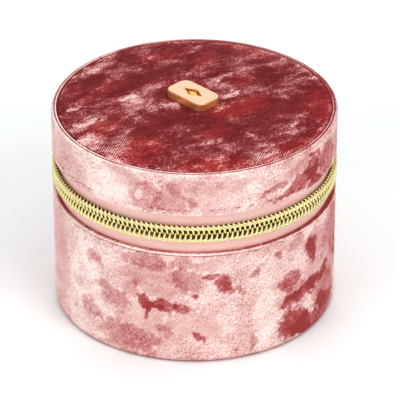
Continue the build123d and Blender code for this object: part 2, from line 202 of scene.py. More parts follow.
def disc(name, plan, z, low):
    """A closed round pad from its top, given along spokes from the middle out, and its flat underside."""
    top = np.concatenate([plan[..., :2], z[..., None]], -1)
    wall = top[:, -1:] * (1, 1, 0) + (0, 0, low)
    shell = np.concatenate([top, wall], axis=1)
    spokes, count = shell.shape[:2]
    points = np.concatenate([shell.reshape(-1, 3), [[0, 0, z[:, 0].mean()]], [[0, 0, low]]])
    top_middle, low_middle = len(points) - 2, len(points) - 1
    faces = []
    for i in range(0, spokes * count, count):
        k = (i + count) % (spokes * count)
        faces += [[i + j, i + j + 1, k + j + 1, k + j] for j in range(count - 1)]
        faces.append([top_middle, i, k])
        faces.append([low_middle, k + count - 1, i + count - 1])
    uvs = [points[v][:2] * MM for f in faces for v in f]
    return face_outwards(mesh_object(name, points, faces, uvs))


def rounding(r, rim, radius):
    """How far across a rounded rim of that radius each point is, from 0 to 1, and how far it drops there."""
    out = np.clip((r - rim + radius) / radius, 0, 1)
    return out, radius * (1 - np.sqrt(1 - 0.98 * out**2))


def slab(inner, low, outer, high, radius):
    """Corners of a rectangular outline."""
    return [(inner, low, radius), (outer, low, radius), (outer, high, radius), (inner, high, radius)]


def rough(points, size, octaves=3, seed=0.0):
    """Smooth noise, about -1 to 1, at points in millimetres, with features of that size."""
    shape = points.shape[:-1]
    flat = points.reshape(-1, 3) / size + seed
    values = [noise.fractal(Vector(p), 1.0, 2.0, octaves) for p in flat.tolist()]
    return np.array(values).reshape(shape)


def bump_at(value, centre, width):
    """A smooth hump, 1 at centre and gone a couple of widths away."""
    return np.exp(-(((value - centre) / width) ** 2))


def tube(name, path, radius, sides):
    """A round bar along a path of points that starts out roughly level."""
    ahead = np.gradient(path, axis=0)
    ahead /= np.linalg.norm(ahead, axis=1)[:, None]
    side = np.cross(ahead[0], (0.0, 0.0, 1.0))
    across = np.empty_like(path)
    for k, forward in enumerate(ahead):
        side = side - forward * (side @ forward)
        side = side / np.linalg.norm(side)
        across[k] = side
    over = np.cross(ahead, across)
    turn = np.linspace(0, 2 * math.pi, sides, endpoint=False)
    ring = np.cos(turn)[None, :, None] * across[:, None] + np.sin(turn)[None, :, None] * over[:, None]
    v = np.arange(sides + 1) * radius * 2 * math.pi / sides
    uv = np.stack(np.meshgrid(distances(path), v, indexing="ij"), -1) * MM
    return grid(name, path[:, None] + radius * ring, uv, full=False)


def joined(name, pieces):
    """One object from several, with the first one's place."""
    for other in bpy.context.selected_objects:
        other.select_set(False)
    for piece in pieces:
        piece.select_set(True)
    bpy.context.view_layer.objects.active = pieces[0]
    bpy.ops.object.join()
    pieces[0].name = name
    pieces[0].data.name = name
    return pieces[0]


# ---- material building -----------------------------------------
def linear(*rgb):
    """A colour given as 0-255 screen values, as linear RGBA."""
    return tuple(c / 255 / 12.92 if c <= 10 else ((c / 255 + 0.055) / 1.055) ** 2.4 for c in rgb) + (1.0,)


class Paint:
    """A node material with one Principled shader, and short ways to add nodes to it."""

    def __init__(self, name, **constants):
        self.material = bpy.data.materials.new(name)
        self.material.use_nodes = True
        self.tree = self.material.node_tree
        self.shader = self.tree.nodes["Principled BSDF"]
        for socket, value in constants.items():
            self.shader.inputs[socket.replace("_", " ")].default_value = value

    def add(self, kind, inputs=(), **settings):
        made = self.tree.nodes.new("ShaderNode" + kind)
        for key, value in settings.items():
            setattr(made, key, value)
        for key, value in dict(inputs).items():
            if isinstance(value, bpy.types.NodeSocket):
                self.tree.links.new(value, made.inputs[key])
            else:
                made.inputs[key].default_value = value
        return made

    def link(self, socket, name):
        self.tree.links.new(socket, self.shader.inputs[name])

    def cloth(self, stretch=(1.0, 1.0), turn=0.0, offset=(0.0, 0.0)):
        """Coordinates in metres along the cloth, turned by degrees and then stretched."""
        source = self.add("UVMap", uv_map="cloth").outputs["UV"]
        turned = self.add(
            "Mapping", {"Vector": source, "Rotation": (0, 0, math.radians(turn)), "Location": (*offset, 0)}
        )
        return self.add("Mapping", {"Vector": turned.outputs[0], "Scale": (*stretch, 1)}).outputs[0]

    def solid(self, stretch=(1.0, 1.0, 1.0)):
        """Coordinates in metres in the row frame."""
        source = self.add("TexCoord").outputs["Object"]
        return self.add("Mapping", {"Vector": source, "Scale": stretch}).outputs[0]

    def noise(self, vector, size, detail=3.0, roughness=0.55):
        """Noise with features of that size in millimetres."""
        inputs = {"Vector": vector, "Scale": 1 / (size * MM), "Detail": detail, "Roughness": roughness}
        return self.add("TexNoise", inputs).outputs["Fac"]

    def bands(self, vector, size, distortion, **settings):
        """Bands, with a size in millimetres that is about three times their spacing."""
        inputs = {"Vector": vector, "Scale": 1 / (size * MM), "Distortion": distortion}
        return self.add("TexWave", inputs, **settings).outputs["Fac"]

    def math(self, kind, *values, clamp=False):
        made = self.add("Math", operation=kind, use_clamp=clamp)
        for socket, value in zip(made.inputs, values):
            if isinstance(value, bpy.types.NodeSocket):
                self.tree.links.new(value, socket)
            else:
                socket.default_value = value
        return made.outputs[0]

    def around_middle(self, value, gain, onto):
        """Value less a half, times gain, plus another value."""
        return self.math("MULTIPLY_ADD", self.math("SUBTRACT", value, 0.5), gain, onto)

    def span(self, value, low, high, to_low=0.0, to_high=1.0):
        """Value mapped smoothly from one span to another, and held at its ends."""
        inputs = {"Value": value, "From Min": low, "From Max": high, "To Min": to_low, "To Max": to_high}
        return self.add("MapRange", inputs, interpolation_type="SMOOTHSTEP").outputs["Result"]

    def warped(self, vector, size, reach):
        """Coordinates pushed about by noise, by up to about reach millimetres."""
        inputs = {"Vector": vector, "Scale": 1 / (size * MM), "Detail": 3.0}
        push = self.add("TexNoise", inputs).outputs["Color"]
        centred = self.add("VectorMath", {0: push, 1: (0.5, 0.5, 0.5)}, operation="SUBTRACT").outputs[0]
        scaled = self.add("VectorMath", {0: centred, "Scale": 2 * reach * MM}, operation="SCALE").outputs[0]
        return self.add("VectorMath", {0: vector, 1: scaled}, operation="ADD").outputs[0]

    def ramp(self, value, *stops):
        """Colours given as (place, red, green, blue) with 0-255 screen values."""
        made = self.add("ValToRGB", {"Fac": value})
        elements = made.color_ramp.elements
        while len(elements) < len(stops):
            elements.new(0.5)
        for element, (place, *rgb) in zip(elements, stops):
            element.position = place
            element.color = linear(*rgb)
        return made.outputs["Color"]

    def mixed(self, share, first, second):
        """First colour where share is 0, second where it is 1."""
        made = self.add("Mix", data_type="RGBA")
        for socket, value in zip((made.inputs[0], made.inputs[6], made.inputs[7]), (share, first, second)):
            self.tree.links.new(value, socket)
        return made.outputs[2]

    def attribute(self, name):
        return self.add("Attribute", attribute_name=name).outputs["Fac"]

    def bump(self, height, distance, strength, under=None):
        """Relief up to distance millimetres high, laid over another normal if there is one under it."""
        inputs = {"Height": height, "Distance": distance * MM, "Strength": strength}
        if under is not None:
            inputs["Normal"] = under
        return self.add("Bump", inputs).outputs["Normal"]


def velvet(name, stops, warm_stops, turn, level, gains, sheen, hatch, offset=(0.0, 0.0)):
    """Crushed velvet: one value says how the pile lies, and two ramps, cool and warm, give its shades.

    Gains say how much the broad, patchy, crisp, streaky, tufted and finest unevenness each count.
    """
    paint = Paint(
        name, Roughness=0.8, Sheen_Weight=sheen, Sheen_Roughness=0.35, Sheen_Tint=linear(255, 214, 208),
        Specular_IOR_Level=0.1,
    )
    flat = paint.cloth(offset=offset)
    leaning = paint.cloth(stretch=(0.4, 1.0), turn=turn, offset=offset)
    broad = paint.noise(paint.warped(flat, 14, 5), 30, 2)
    patches = paint.noise(paint.warped(flat, 9, 4), 10, 5, 0.6)
    crisp = paint.span(patches, 0.46, 0.54)
    streaks = paint.noise(paint.warped(leaning, 9, 3), 5, 6, 0.68)
    tufts = paint.noise(flat, 1.5, 4, 0.75)
    pile = paint.noise(paint.cloth(stretch=(1.0, 0.45), turn=turn / 3), 0.42, 2, 0.6)
    specks = paint.span(paint.noise(flat, 0.55, 1, 0.5), 0.62, 0.74)
    ridges = paint.math("SUBTRACT", paint.bands(paint.cloth(turn=turn + 45), 2.6, 1.5), 0.5)
    combed = paint.math("MULTIPLY", ridges, paint.span(broad, 0.48, 0.6))
    uneven = paint.math("MULTIPLY_ADD", combed, hatch, paint.math("MULTIPLY", specks, -0.5))
    for part, gain in zip((broad, patches, crisp, streaks, tufts, pile), gains):
        uneven = paint.around_middle(part, gain, uneven)
    loose = paint.math("SUBTRACT", 1.0, paint.math("MULTIPLY", paint.attribute("calm"), 0.45))
    value = paint.math("MULTIPLY_ADD", uneven, loose, paint.math("ADD", paint.attribute("lay"), level))
    value = paint.math("ADD", value, 0.0, clamp=True)
    shade = paint.mixed(paint.attribute("warm"), paint.ramp(value, *stops), paint.ramp(value, *warm_stops))
    paint.link(shade, "Base Color")
    coarse = paint.bump(patches, 0.5, 0.5)
    paint.link(paint.bump(pile, 0.12, 0.6, under=coarse), "Normal")
    return paint.material


SIDE_SHADES = (
    (0.0, 152, 54, 54),
    (0.14, 174, 70, 68),
    (0.3, 194, 120, 119),
    (0.45, 212, 154, 152),
    (0.6, 228, 180, 176),
    (0.75, 241, 204, 197),
    (0.9, 252, 224, 217),
    (1.0, 255, 238, 231),
)
TOP_SHADES = (
    (0.0, 96, 14, 20),
    (0.25, 116, 25, 30),
    (0.45, 136, 42, 45),
    (0.6, 160, 76, 77),
    (0.75, 190, 118, 116),
    (0.88, 222, 164, 160),
    (1.0, 252, 210, 205),
)
TOP_WARM_SHADES = (
    (0.0, 122, 20, 22),
    (0.25, 142, 32, 34),
    (0.45, 164, 48, 49),
    (0.6, 184, 76, 74),
    (0.75, 206, 116, 112),
    (0.88, 230, 166, 160),
    (1.0, 252, 210, 205),
)
# Coil colours run from painted shade, where the filament sits low, to lit gold where it stands proud.
COIL_SHADES = ((0.08, 34, 22, 3), (0.3, 122, 94, 34), (0.56, 238, 218, 140), (0.85, 250, 240, 180))
LINING_SHADES = ((0.2, 214, 168, 160), (0.5, 229, 188, 179), (0.8, 240, 206, 198))
TAPE_SHADES = ((0.2, 250, 190, 180), (0.5, 255, 207, 198), (0.8, 255, 220, 212))


def lining():
    """Short-napped suede cloth."""
    paint = Paint("lining_suede", Roughness=0.9, Sheen_Weight=0.3, Sheen_Roughness=0.5)
    flat = paint.cloth()
    nap = paint.noise(flat, 0.5, 3, 0.7)
    brushed = paint.noise(paint.warped(paint.cloth(stretch=(1.0, 0.6)), 10, 3), 9, 4)
    paint.link(paint.ramp(paint.around_middle(nap, 0.5, brushed), *LINING_SHADES), "Base Color")
    paint.link(paint.bump(nap, 0.08, 0.5), "Normal")
    return paint.material


def tape_cloth():
    """Plain woven tape: fine ribs along the zip, crossed by finer threads."""
    paint = Paint("zip_tape", Roughness=0.62, Sheen_Weight=0.15)
    ribs = paint.bands(paint.cloth(), 4, 0.6, bands_direction="Y")
    picks = paint.bands(paint.cloth(), 3, 0.6, bands_direction="X")
    weave = paint.math("MULTIPLY", ribs, picks)
    uneven = paint.noise(paint.cloth(stretch=(0.25, 1.0)), 3, 3)
    value = paint.math("MULTIPLY_ADD", weave, 0.12, paint.math("MULTIPLY", uneven, 0.8))
    paint.link(paint.ramp(value, *TAPE_SHADES), "Base Color")
    paint.link(paint.bump(weave, 0.05, 0.3), "Normal")
    return paint.material


def metal(name, shades, roughness, grain=0.35):
    """Plated metal with a faint grain."""
    paint = Paint(name, Metallic=1.0)
    uneven = paint.noise(paint.solid(), grain, 4, 0.6)
    clouds = paint.noise(paint.solid(), 4.0, 3)
    paint.link(paint.ramp(clouds, *shades), "Base Color")
    paint.link(paint.span(uneven, 0.2, 0.8, roughness * 0.8, roughness * 1.25), "Roughness")
    paint.link(paint.bump(uneven, 0.02, 0.4), "Normal")
    return paint.material


def plaque_gold():
    """Satin rose gold, painted deeper and more orange down its sides as shade, and yellow in the sunk
    lozenge.
    """
    top_band, lozenge_reach = 0.2, 3.6
    paint = Paint("plaque_rose_gold", Metallic=0.75)
    place = paint.solid()
    clouds = paint.ramp(paint.noise(place, 4.0, 3), (0.3, 237, 182, 146), (0.7, 243, 192, 158))
    middle = (*(BADGE_MIDDLE * MM), 0.0)
    across = paint.add("VectorMath", {0: place, 1: middle}, operation="SUBTRACT").outputs[0]
    level = paint.add("VectorMath", {0: across, 1: (1.0, 1.0, 0.0)}, operation="MULTIPLY").outputs[0]
    away = paint.add("VectorMath", {0: level}, operation="LENGTH").outputs["Value"]
    height = paint.add("SeparateXYZ", {0: place}).outputs["Z"]
    sunk = paint.math("LESS_THAN", height, (BADGE_HIGH[2] - top_band) * MM)
    inside = paint.math("MULTIPLY", sunk, paint.math("LESS_THAN", away, lozenge_reach * MM))
    yellow = paint.ramp(paint.noise(place, 1.2, 3), (0.35, 190, 124, 20), (0.65, 250, 214, 110))
    # Deeper orange gold on the sides below the top face: painted shade.
    shaded_amber = paint.ramp(paint.noise(place, 1.6, 4, 0.6), (0.3, 222, 146, 84), (0.7, 244, 190, 132))
    paint.link(paint.mixed(inside, paint.mixed(sunk, clouds, shaded_amber), yellow), "Base Color")
    grain = paint.noise(paint.solid((1.0, 1.0, 0.3)), 0.35, 4, 0.6)
    paint.link(paint.span(grain, 0.2, 0.8, 0.3, 0.42), "Roughness")
    paint.link(paint.bump(grain, 0.02, 0.4), "Normal")
    return paint.material


def coil_gold_painted_shade():
    """Bright where the zip's filament stands proud, with painted shade down between its turns and along the
    seam.
    """
    paint = Paint("coil_gold_painted_shade", Metallic=1.0, Roughness=0.27)
    clouds = paint.noise(paint.solid(), 0.8, 3)
    height = paint.around_middle(clouds, 0.2, paint.attribute("height"))
    paint.link(paint.ramp(height, *COIL_SHADES), "Base Color")
    return paint.material


def board(name, light, dark, size):
    """Pulp board or foam: speckled and matt."""
    paint = Paint(name, Roughness=0.9)
    fleck = paint.noise(paint.solid(), size, 4, 0.65)
    paint.link(paint.ramp(fleck, (0.3, *dark), (0.7, *light)), "Base Color")
    paint.link(paint.bump(fleck, 0.1, 0.5), "Normal")
    return paint.material


def mirror_silver():
    """Silvered glass with the faintest haze."""
    paint = Paint("mirror_silver", Metallic=1.0)
    haze = paint.noise(paint.solid(), 18, 3)
    paint.link(paint.ramp(haze, (0.3, 232, 236, 238), (0.7, 240, 243, 244)), "Base Color")
    paint.link(paint.span(haze, 0.4, 0.7, 0.015, 0.045), "Roughness")
    return paint.material


MATERIALS = {
    "velvet_side": velvet(
        "velvet_side", SIDE_SHADES, SIDE_SHADES, turn=-35, level=0.71,
        gains=(0.3, 0.4, 0.1, 0.5, 0.7, 1.5), sheen=0.15, hatch=-0.12,
    ),
    "velvet_top": velvet(
        "velvet_top", TOP_SHADES, TOP_WARM_SHADES, turn=16, level=0.38,
        gains=(0.5, 1.1, 0.1, 1.5, 1.1, 1.5), sheen=0.08, hatch=0.4, offset=(0.3, 0.1),
    ),
    # Near-black cord colour, which paints the shadow inside the zip's coil.
    "cord_and_shadow": board("cord_and_shadow", (96, 64, 22), (54, 34, 8), 0.4),
    "lining": lining(),
    "zip_tape": tape_cloth(),
    "gold_coil": coil_gold_painted_shade(),
    "gold_thread": metal("thread_gold", ((0.3, 244, 230, 164), (0.7, 253, 243, 190)), 0.32, grain=0.2),
    "gold_metal": metal("slider_gold", ((0.3, 232, 206, 132), (0.7, 243, 219, 150)), 0.24),
    "rose_gold": plaque_gold(),
    "steel": metal("washer_steel", ((0.3, 180, 180, 182), (0.7, 200, 200, 202)), 0.35),
    "greyboard": board("greyboard", (172, 163, 148), (140, 131, 118), 0.8),
    "foam": board("foam", (243, 240, 230), (226, 222, 210), 0.5),
    "bottom_cloth": board("bottom_cloth", (178, 124, 120), (150, 98, 95), 0.7),
    "mirror": mirror_silver(),
}


def dress(made, slot, *nodes, look=None):
    """Gives a piece the material of its slot, or another look, and hides the CAD nodes that it stands for.
    """
    made.data.materials.clear()
    made.data.materials.append(MATERIALS[look or slot])
    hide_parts(*nodes)


def store(made, name, values):
    """Stores one number for each point of the piece, for its material to read."""
    layer = made.data.attributes.new(name, "FLOAT", "POINT")
    layer.data.foreach_set("value", np.asarray(values, np.float32).ravel())


def lay(made, values, calm, warm):
    """Stores how light the pile lies at each point, painted highlights and shade included, how even it is
    there and how warm its red.
    """
    store(made, "lay", values)
    store(made, "calm", calm)
    store(made, "warm", warm)


# ---- crushed marks in the pile ---------------------------------
FRONT = -134.0                   # plan angle that places on the wall are counted from
# Each mark: place, half width and half height in millimetres, turn in degrees, and how much lighter it is.
# On the wall a place is degrees round from FRONT and a height; on the top it is X and Y.
# Besides the crushed pile, the wall marks paint the studio light's shading: the dark ones gather towards the
# right.
WALL_MARKS = (
    (-40, 67, 11, 7, 0, 0.18),
    (-20, 65.5, 6, 6, 0, -0.28),
    (-22.5, 66, 1.8, 2.2, 0, 0.28),
    (18, 65, 12, 4, 0, 0.08),
    (16, 71, 7, 2.4, 0, -0.12),
    (-26, 71, 5, 3, 0, -0.14),
    (-1, 65, 2.2, 1.6, 0, -0.26),
    (33, 65.5, 6, 0.9, 14, -0.41),
    (46, 63.5, 11, 2.6, 16, -0.49),
    (55, 66.5, 6, 4.5, 60, -0.51),
    (56, 60.5, 5, 2, 0, -0.46),
    (68, 66, 6, 7, 0, -0.31),
    (-72, 68, 3, 5, 0, 0.1),
    (-63, 70, 9, 5, 0, -0.12),
    (-5, 70.5, 7, 3, 0, -0.2),
    (5, 66, 8, 6, 0, -0.12),
    (47, 70, 6, 3, 20, -0.22),
    (35, 71, 4, 2.6, 0, 0.12),
    (-9.5, 66, 5, 6, 15, -0.2),
    (-70, 26, 9, 22, 0, -0.1),
    (-50, 26, 9, 14, 10, 0.2),
    (-54, 5, 8, 4, 0, 0.14),
    (-55, 22, 2.6, 2, 0, -0.2),
    (-20, 13, 10, 12, 0, -0.08),
    (-26, 28, 4, 3, 30, -0.24),
    (-5, 40.5, 4.5, 2.5, 0, -0.26),
    (4, 39.5, 5, 3, 10, -0.14),
    (19, 40, 9, 2.6, 0, 0.14),
    (34, 29, 3.5, 3, 0, 0.14),
    (30, 15, 5, 12, 0, 0.1),
    (-43.5, 34, 3, 2.6, 0, -0.38),
    (-35, 22.5, 7, 4.2, -25, -0.32),
    (-45.5, 13.5, 5, 3.8, -30, -0.36),
    (-28, 7.5, 11, 5.6, -10, -0.31),
    (-14, 33, 11, 7, -10, -0.2),
    (-2, 33.5, 4, 5.4, 30, -0.26),
    (-21, 23.5, 3, 2.6, -20, -0.55),
    (-12, 23, 5, 3, -8, -0.52),
    (-16.5, 23.6, 3, 1.8, 0, -0.4),
    (-4.5, 22, 2.6, 1.8, 0, -0.44),
    (-19, 19, 0.9, 3, 0, -0.45),
    (-1, 26.6, 1.3, 1.1, 0, -0.49),
    (6.3, 35, 3.2, 1.1, 0, -0.51),
    (13, 31.2, 3, 4.4, 25, -0.55),
    (19, 28.6, 1.7, 1.6, 0, -0.41),
    (1, 10.5, 1.7, 2.8, 20, -0.49),
    (-12, 12.5, 3.2, 1.6, 0, -0.25),
    (1, 15, 9, 6, 0, -0.12),
    (17, 4, 1.2, 1, 0, -0.36),
    (24.5, 6, 1.6, 3, 0, -0.31),
    (25.5, 34, 1.8, 1.8, 0, -0.36),
    (35, 38, 2.2, 1.7, 0, -0.44),
    (42, 26, 4.6, 3.6, 25, -0.51),
    (54, 33.5, 4, 5.4, 0, -0.46),
    (49, 18.6, 10.5, 2.2, 9, -0.51),
    (61, 20.8, 8, 2.6, 9, -0.51),
    (44, 8, 7, 6, -30, -0.59),
    (52, 3.5, 9, 4.4, -20, -0.55),
    (64, 9.5, 4, 3.4, 0, -0.36),
    (72, 30, 9, 16, 0, -0.2),
    (60, 35, 9, 7, 0, -0.22),
    (45, 21, 4, 2.6, 20, -0.34),
    (58, 26, 7, 3, 10, -0.12),
    (66, 12, 10, 9, -20, -0.34),
    (45, 40.5, 4, 2.4, 0, -0.26),
    (-22, 40, 9, 2.8, 0, -0.26),
    (77, 33, 7, 12, 0, -0.2),
    (69, 4, 10, 6, 0, -0.32),
    (66, 66, 9, 9, 0, -0.12),
    (90, 22, 9, 12, 20, -0.36),
    (84, 66, 9, 6, 0, -0.26),
)
# On the top, the light marks are painted sheen streaks on the pile as well as its crushed patches.
TOP_MARKS = (
    (-44, 6, 5, 5.5, 10, 0.37),
    (-47, -9, 2.4, 5, 15, 0.3),
    (-16.5, 19.5, 5, 1.7, -28, 0.41),
    (-13, 15.5, 2.6, 2.2, 0, 0.22),
    (-32, 26.5, 3.4, 1.7, 0, 0.32),
    (-35, 24, 5, 3.4, -10, 0.24),
    (-25, 36, 6, 3.4, 15, 0.2),
    (-25, -35, 6, 3.6, -30, 0.26),
    (-5, -36, 5, 4, 0, 0.16),
    (5, 31, 9, 4, 0, 0.1),
    (-27, 4, 6, 5, 0, 0.12),
    (15, 4, 4, 5, 0, 0.14),
    (-5, -6, 6, 3, 0, 0.1),
    (12, -15, 13, 4.5, -8, -0.22),
    (30, 24, 9, 5, 0, -0.1),
    (-36, 16, 4.5, 1.6, 10, 0.3),
    (-29, 43, 9, 3, 30, 0.23),
    (-5, 43.5, 7, 3.4, 0, 0.26),
    (1, 34.5, 8, 3, -20, 0.17),
    (12, 28.5, 5, 2, 0, 0.19),
    (28, 29, 5, 1.6, 0, 0.21),
    (19.5, 6, 4.5, 1.8, 0, 0.32),
    (13, -4, 3.6, 2.2, 0, 0.43),
    (40, -9, 5.5, 1, -6, 0.28),
    (32, 13, 4, 5, 0, 0.15),
    (38, 6, 4, 5, 0, 0.12),
    (25.5, -20, 2, 1.6, 0, 0.26),
    (-24, 9, 6, 1.2, 0, 0.21),
    (-19, -13, 6, 0.6, 4, 0.26),
    (-14, -27, 2.2, 0.8, 10, 0.37),
    (-3, -31, 1.6, 2.6, 0, 0.37),
    (12, -33, 12, 3.4, 0, 0.15),
    (-22, -23, 9, 4.5, -10, 0.15),
    (16, -38, 8, 2.4, 0, 0.18),
    (-6, -41, 9, 3.4, 0, 0.17),
    (-38, -27, 5, 3, -45, 0.18),
    (-6.5, 6, 2.4, 3.4, 0, 0.26),
    (-20, 35, 11, 4, 8, -0.12),
    (-8, 28, 10, 3, -4, -0.12),
    (-31, 11, 9, 3, 0, -0.1),
    (-21, -3, 12, 5, 0, -0.1),
    (22, -24, 13, 4, 0, -0.1),
    (0, 24, 6, 4, 0, -0.09),
    (-34, 17, 12, 10, 0, 0.07),
)
# Patches of the top where the red is warmer; the last number is how much.
TOP_WARM = (
    (-37, -12, 10, 7, 10, 0.9),
    (-26, -36, 12, 6, -35, 0.9),
    (9, -14, 12, 5, -10, 1.0),
    (-10, -20, 7, 4, 20, 0.6),
    (32, -32, 14, 7, 45, 0.8),
    (2, -46, 18, 4, 0, 0.8),
    (-36, 8, 8, 4, 20, 0.7),
    (17, 33, 9, 4, -20, 0.7),
    (24, 20, 8, 3, 30, 0.5),
    (42, 16, 4, 12, 10, 0.6),
    (-18, 28, 9, 3, 0, 0.5),
    (23, 0, 5, 3, 0, 0.6),
)


def marks(places, across, up, at):
    """Sum of the marks at points given by two coordinates, and how far the dark ones cover each point."""
    wander, fray = 2.2, 0.4          # how far the marks' edges stray, in millimetres and in shares of a mark
    edge, edge_width = 1.2, 0.4
    coarse_x, coarse_y = rough(at, 6, 3, 11.0), rough(at, 6, 3, 23.0)
    fine = rough(at, 1.7, 3, 31.0)
    total, bare = np.zeros_like(across), np.ones_like(across)
    for x, y, wide, tall, turn, gain in places:
        c, s = math.cos(math.radians(turn)), math.sin(math.radians(turn))
        dx, dy = across - x + wander * coarse_x, up - y + wander * coarse_y
        away = np.hypot((c * dx + s * dy) / wide, (c * dy - s * dx) / tall) + fray * fine
        fade = np.clip((edge - away) / edge_width, 0, 1)
        fade = fade**2 * (3 - 2 * fade)
        total = total + gain * fade
        bare = bare * (1 - fade * (gain < 0))
    return total * (1.0 + 0.3 * fine), 1 - bare


def wall_marks(theta, r, z):
    """Marks round the wall, with patches from noise at the back, where none is listed."""
    from_front = np.mod(np.degrees(theta) - FRONT + 180, 360) - 180
    per_degree = CASE_R * math.pi / 180
    places = [(x * per_degree, *rest) for x, *rest in WALL_MARKS]
    at = around(theta, r, z)
    own, cover = marks(places, from_front * per_degree, z, at)
    behind = np.clip((np.abs(from_front) - 85) / 20, 0, 1)
    mauve = behind * np.clip((rough(at, 11, 4, 41.0) - 0.06) / 0.2, 0, 1)
    red = behind * np.clip((rough(at, 9, 4, 52.0) - 0.24) / 0.22, 0, 1)
    return own - 0.2 * mauve - 0.36 * red, np.maximum(cover, np.maximum(mauve, red))


def badge_distance(at):
    """Distance of points out from the plaque's outline in plan, and less than 0 inside it."""
    corner = 2
    half = (BADGE_HIGH - BADGE_LOW)[:2] / 2
    past = np.maximum(abs(at[..., :2] - BADGE_MIDDLE) - half + corner, 0)
    return np.hypot(past[..., 0], past[..., 1]) - corner


# ---- velvet over the walls -------------------------------------
def back_seam(theta):
    """Distance round the wall from the seam at the back, in millimetres."""
    return (np.mod(theta - math.radians(BACK) + math.pi, 2 * math.pi) - math.pi) * CASE_R


def seam_relief(theta):
    """The sunk seam that joins a sleeve's ends, and the cloth swelling beside it."""
    seam = back_seam(theta)
    return -0.45 * bump_at(seam, 0, 0.35) + 0.12 * bump_at(np.abs(seam), 0.9, 0.5)


def soft_relief(at, seed):
    """The slight unevenness of velvet glued over board."""
    return 0.10 * rough(at, 7, 3, seed[0]) + 0.05 * rough(at, 2.2, 2, seed[1])


def on_wall(theta):
    """Points at the wall's radius and no height, for unevenness that only changes on the way round."""
    return around(theta, CASE_R, 0 * theta)


def vertices(made):
    """The piece's points, in millimetres."""
    co = np.empty(len(made.data.vertices) * 3)
    made.data.vertices.foreach_get("co", co)
    return co.reshape(-1, 3) / MM


def polar(made):
    """Plan angle, distance from the case's axis and height of each of the piece's points."""
    x, y, z = vertices(made).T
    return np.arctan2(y, x), np.hypot(x, y), z


def slack_and_light_side(theta):
    """0 where the cloth is pulled tight over an edge, 1 on the far side, where it is slack. It also sets how
    strongly highlights and shade are painted on each side of the case.
    """
    return 0.5 - 0.5 * np.cos(theta - math.radians(FRONT - 65))


def finish_sleeve(made, body, shade):
    """Lays the pile of a sleeve, darker along its seam and crushed, and attaches it to its body.
    """
    theta, r, z = polar(made)
    crushed, cover = wall_marks(theta, r, z)
    lay(made, shade - 0.3 * bump_at(back_seam(theta), 0, 0.5) + crushed, cover, 0 * r)
    dress(made, "velvet_side", f"{body}_side_velvet")
    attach(made, body)


def base_velvet():
    """The base's sleeve, hemmed at its top edge and turned under the floor."""
    hem, crease = BASE_TOP - 0.4, BASE_TOP - 0.95
    turned_under = 44.0              # radius that the cloth reaches below
    over_board, under_floor = BASE_BOARD_TOP + 0.05, FLOOR_LOW - 0.05

    def relief(theta, r, z):
        outside = np.clip((r - CASE_R + 0.6) / 0.4, 0, 1)
        wander = 0.18 * rough(on_wall(theta), 9, 2, 3.1)
        uneven = 1.4 - 0.8 * slack_and_light_side(theta) + 0.4 * rough(on_wall(theta), 12, 2, 13.0)
        hemmed = uneven * (0.12 * bump_at(z, hem, 0.25) - 0.26 * bump_at(z, crease + wander, 0.16))
        soft = soft_relief(around(theta, r, z), (0.0, 7.3))
        return outside * (soft + hemmed + seam_relief(theta) * (z < hem))

    def step(r, z):
        if z > BASE_TOP - 1.8:
            return 0.17
        return 0.6 if r > BOARD_R + 0.2 else 3.0

    made = spin(
        "base_velvet",
        [
            (turned_under, BASE_LOW, 0.3),
            (CASE_R, BASE_LOW, 1.4),
            (CASE_R, BASE_TOP, 0.65),
            (TAPE_OUT + SKIN, BASE_TOP, 0.2),
            (TAPE_OUT + SKIN, over_board, 0.1),
            (BOARD_R + SKIN, over_board, 0.1),
            (BOARD_R + SKIN, under_floor, 0.2),
            (turned_under, under_floor, 0.2),
        ],
        step=step,
        relief=relief,
    )
    theta, r, z = polar(made)
    slack = slack_and_light_side(theta)
    uneven = 0.3 + 0.95 * (1 - slack) ** 2 + 0.8 * rough(on_wall(theta), 7, 2, 13.0)
    # Painted highlight along the hem's crest and painted shade in the crease under it, strongest on the
    # tight side.
    edge = uneven * (0.4 * bump_at(z, hem, 0.22) - 0.85 * bump_at(z, crease + 0.1, 0.17))
    # Painted shade along the bottom edge, where the cloth turns under towards the floor.
    edge = edge - 0.25 * bump_at(z, BASE_LOW, 1.2)
    # Painted shade on the cloth turned in from the outer face: inside the top edge beside the tape, and
    # under the floor.
    shade = 0.25 + 0.35 * np.clip((0.25 - slack) / 0.25, 0, 1) + 0.55 * np.clip(1.3 * slack - 0.15, 0, 1)
    inside = -shade * (r < CASE_R - 0.75 + 0.55 * slack)
    finish_sleeve(made, "base", edge + inside)


